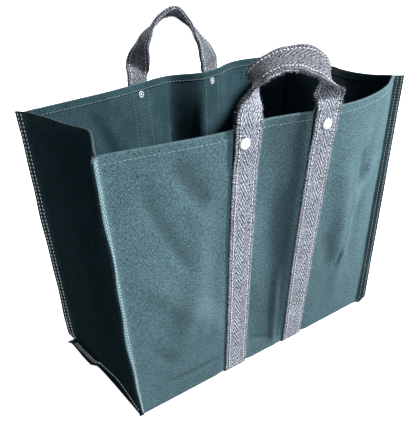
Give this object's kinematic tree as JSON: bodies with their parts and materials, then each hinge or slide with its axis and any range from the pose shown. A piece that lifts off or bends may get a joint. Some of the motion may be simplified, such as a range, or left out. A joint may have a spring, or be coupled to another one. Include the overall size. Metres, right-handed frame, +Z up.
{
  "type": "reusable grocery bag",
  "caption": "Open-topped heavy canvas grocery bag with a flat bottom, side gussets, outward seam flanges and webbing handles held by rivets.",
  "frame": {"origin": "middle of the whole bag's bounding box, on the surface it stands on", "axes": "+X along the length towards the right gusset, +Y from the front panel to the back panel, +Z up out of the mouth"},
  "size_m": [0.5238, 0.3654, 0.5044],
  "materials": {
    "canvas": "matt heavy woven cotton, slate blue-green",
    "webbing": "matt herringbone cotton webbing, light grey with dark threads",
    "metal": "smooth, near white"
  },
  "bodies": {
    "root": {"body_canvas": "canvas", "gusset_left": "canvas", "gusset_right": "canvas", "webbing_front": "webbing", "liner_front": "webbing", "webbing_back": "webbing", "liner_back": "webbing", "rivet_front_left": "metal", "rivet_front_right": "metal", "rivet_back_left": "metal", "rivet_back_right": "metal", "burr_front_left": "metal", "burr_front_right": "metal", "burr_back_left": "metal", "burr_back_right": "metal"}
  },
  "joints": []
}
